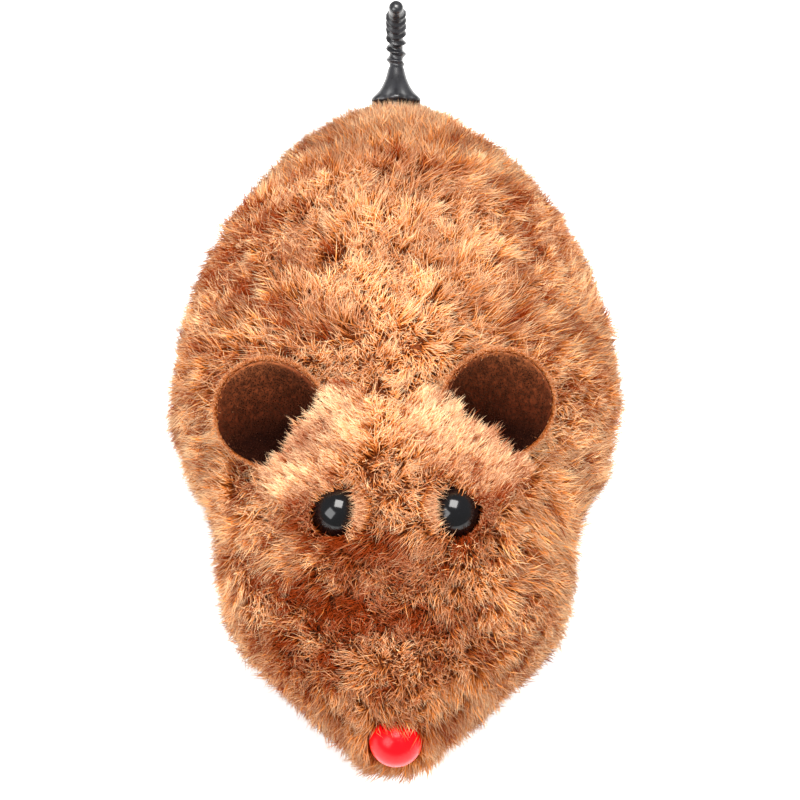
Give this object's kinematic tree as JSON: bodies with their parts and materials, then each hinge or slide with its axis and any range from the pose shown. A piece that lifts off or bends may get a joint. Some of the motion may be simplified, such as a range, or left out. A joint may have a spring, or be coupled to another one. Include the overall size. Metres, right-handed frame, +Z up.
{
  "type": "clockwork mouse",
  "caption": "Wind-up plush toy mouse with felt ears, bead eyes and nose, ribbed spinning tail, and a spring motor that drives its wheels.",
  "frame": {"origin": "on the floor, under the middle of the object's box", "axes": "+Z up, -Y towards the nose, +Y towards the tail, +X the side with the winding knob"},
  "size_m": [0.0518, 0.0892, 0.0382],
  "materials": {
    "plush": "matte",
    "ear_felt": "matte",
    "eye_black": "gloss",
    "nose_red": "gloss",
    "tail_rubber": "satin",
    "shell_plastic": "satin",
    "base_plastic": "satin",
    "gear_plastic": "satin",
    "steel": "satin",
    "spring_steel": "satin",
    "brass_parts": "satin",
    "tyre_rubber": "matte",
    "knob_plastic": "satin"
  },
  "bodies": {
    "chassis": {"plush_cover": "plush", "body_shell": "shell_plastic", "base_plate": "base_plastic", "base_screws": "steel", "ear_left": "ear_felt", "ear_right": "ear_felt", "eye_left": "eye_black", "eye_right": "eye_black", "nose_bead": "nose_red", "bead_washers": "gear_plastic", "motor_plate_left": "steel", "motor_plate_right": "steel", "frame_pillars": "steel", "mainspring": "spring_steel", "tail_bracket": "gear_plastic", "tail_bush": "base_plastic", "roller_pin": "steel"},
    "axle": {"drive_axle": "steel", "axle_pinion": "gear_plastic", "wheel_left": "base_plastic", "wheel_right": "base_plastic", "tyre_left": "tyre_rubber", "tyre_right": "tyre_rubber"},
    "lay": {"lay_shaft": "steel", "lay_pinion": "gear_plastic", "lay_gear": "gear_plastic", "crown_gear": "gear_plastic"},
    "great": {"great_wheel": "brass_parts", "click_spring": "spring_steel"},
    "click": {"click_pawl": "steel"},
    "winder": {"winding_arbor": "steel", "ratchet_wheel": "brass_parts", "winding_knob": "knob_plastic"},
    "tail_spin_body": {"tail_shaft": "steel", "tail_pinion": "gear_plastic", "tail": "tail_rubber"},
    "roller": {"front_roller": "base_plastic"}
  },
  "joints": [
    {"name": "drive_axle_spin", "type": "hinge", "parent": "chassis", "child": "axle", "pos_m": [0, 0.01339, 0.0075], "axis": [1, 0, 0], "continuous": true},
    {"name": "lay_shaft_spin", "type": "hinge", "parent": "chassis", "child": "lay", "pos_m": [0, 0.00733, 0.0136], "axis": [1, 0, 0], "continuous": true},
    {"name": "great_wheel_spin", "type": "hinge", "parent": "chassis", "child": "great", "pos_m": [0, -0.00261, 0.0118], "axis": [1, 0, 0], "continuous": true},
    {"name": "tail_spin", "type": "hinge", "parent": "chassis", "child": "tail_spin_body", "pos_m": [0, 0.00733, 0.0136], "axis": [0, 0.9397, 0.342], "continuous": true},
    {"name": "winding_knob_turn", "type": "hinge", "parent": "great", "child": "winder", "pos_m": [0, -0.00261, 0.0118], "axis": [1, 0, 0], "continuous": true},
    {"name": "click_lift", "type": "hinge", "parent": "great", "child": "click", "pos_m": [0, -0.00524, 0.01674], "axis": [1, 0, 0], "range_deg": [-5, 1]},
    {"name": "front_roller_spin", "type": "hinge", "parent": "chassis", "child": "roller", "pos_m": [0, -0.01961, 0.004], "axis": [1, 0, 0], "continuous": true}
  ],
  "couplings": [
    {"joint": "lay_shaft_spin", "follows": "drive_axle_spin", "ratio": -0.41667},
    {"joint": "great_wheel_spin", "follows": "drive_axle_spin", "ratio": 0.13889},
    {"joint": "tail_spin", "follows": "drive_axle_spin", "ratio": -1}
  ]
}
